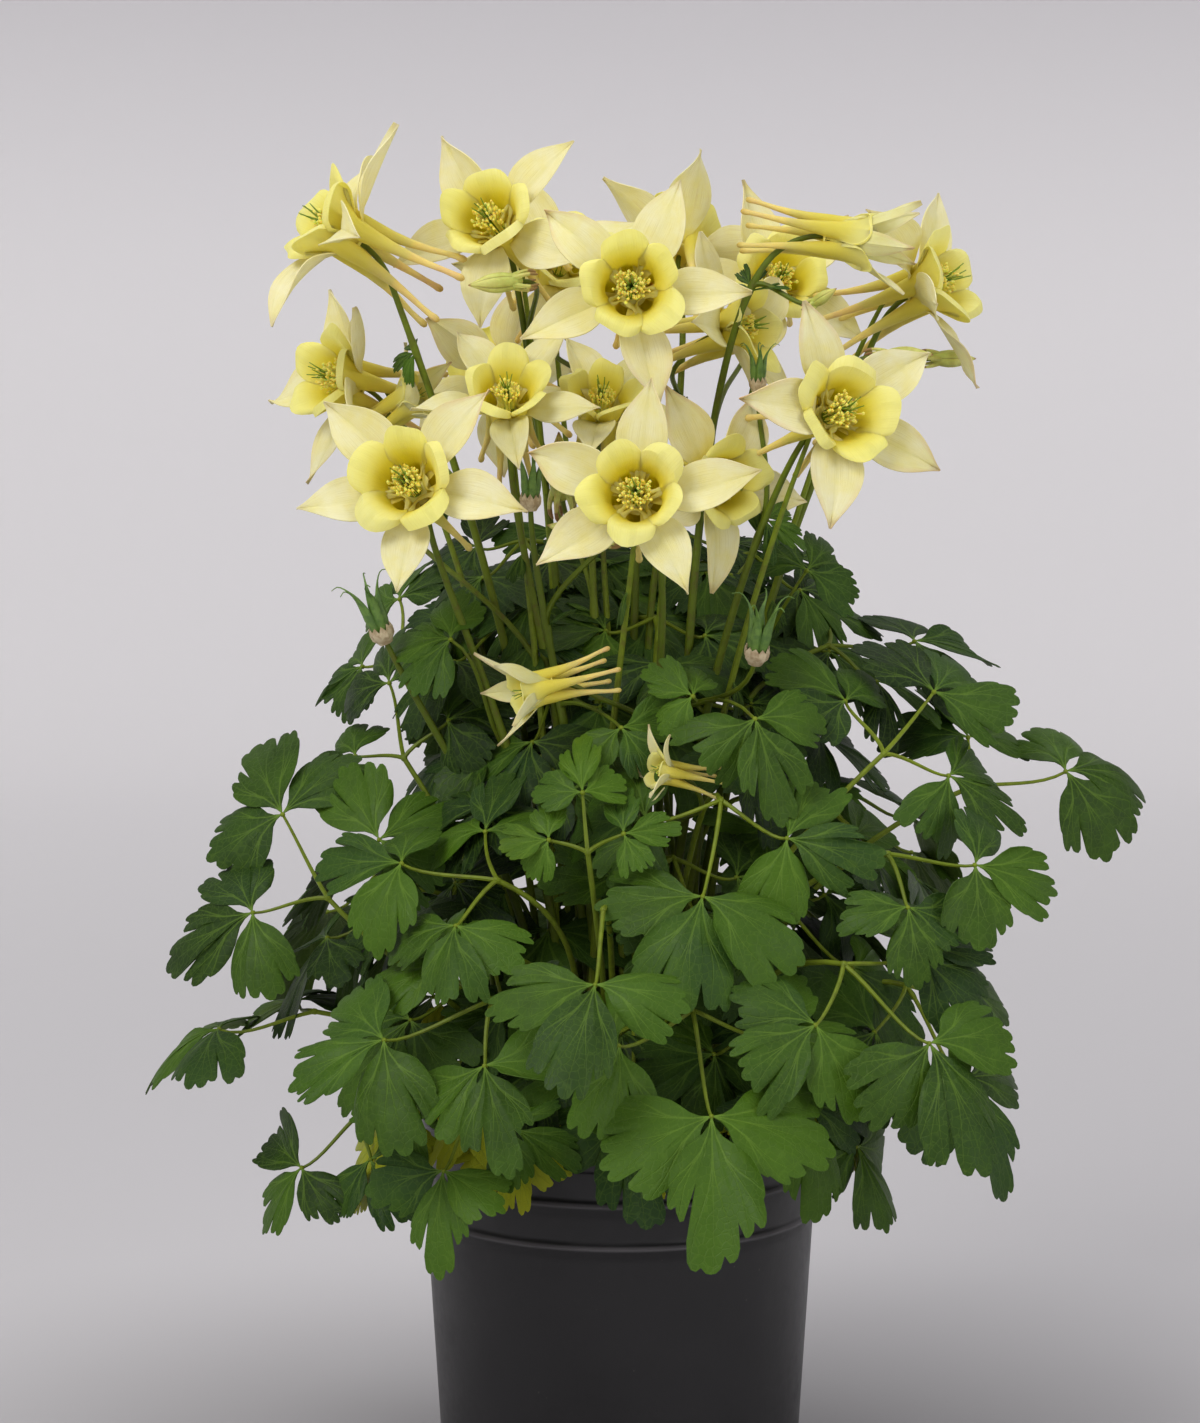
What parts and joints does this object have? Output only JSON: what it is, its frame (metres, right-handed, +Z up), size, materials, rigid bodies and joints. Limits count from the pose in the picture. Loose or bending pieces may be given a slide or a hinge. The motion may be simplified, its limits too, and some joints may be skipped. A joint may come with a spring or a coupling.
{
  "type": "potted columbine plant",
  "caption": "Yellow long-spurred columbine in flower, with cut compound leaves, growing in a round black nursery pot of potting mix.",
  "frame": {"origin": "centre of the pot's flat base", "axes": "+Z up the plant, -Y towards the side that the plant shows best, +X to the right of someone who looks at that side"},
  "size_m": [0.415, 0.3508, 0.566],
  "materials": {
    "leaf": "matt blue-green leaf with paler veins and a paler underside",
    "stem": "smooth green stalk, faintly purple in places",
    "petal": "soft translucent petal: cream sepals round clear yellow cups",
    "soil": "dark crumbly potting mix",
    "pot": "satin black blow-moulded plastic"
  },
  "bodies": {
    "root": {"leaf_left_long": "leaf", "leaf_left_upper": "leaf", "leaf_left_top": "leaf", "leaf_left_edge": "leaf", "leaf_front_left": "leaf", "leaf_mid_left": "leaf", "leaf_left_hanging": "leaf", "leaf_rim_left": "leaf", "leaf_front_low": "leaf", "leaf_front_middle": "leaf", "leaf_front_young": "leaf", "leaf_right_long": "leaf", "leaf_right_upper": "leaf", "leaf_centre": "leaf", "leaf_mid_right": "leaf", "leaf_front_right": "leaf", "leaf_right_hanging": "leaf", "leaf_rim_right": "leaf", "leaf_right_top": "leaf", "leaf_back_left": "leaf", "leaf_back_upper": "leaf", "leaf_back_middle": "leaf", "leaf_back_right": "leaf", "leaf_back_low": "leaf", "stem_01": "stem", "stem_02": "stem", "stem_03": "stem", "stem_04": "stem", "stem_05": "stem", "stem_06": "stem", "stem_07": "stem", "stem_08": "stem", "stem_09": "stem", "stem_10": "stem", "stem_11": "stem", "stem_12": "stem", "stem_13": "stem", "stem_14": "stem", "stem_15": "stem", "bloom_01": "petal", "bloom_02": "petal", "bloom_03": "petal", "bloom_04": "petal", "bloom_05": "petal", "bloom_06": "petal", "bloom_07": "petal", "bloom_08": "petal", "bloom_09": "petal", "bloom_10": "petal", "bloom_11": "petal", "bloom_12": "petal", "bloom_13": "petal", "bloom_14": "petal", "bloom_15": "petal", "bloom_16": "petal", "bloom_17": "petal", "bloom_18": "petal", "bloom_19": "petal", "soil": "soil", "pot": "pot"}
  },
  "joints": []
}
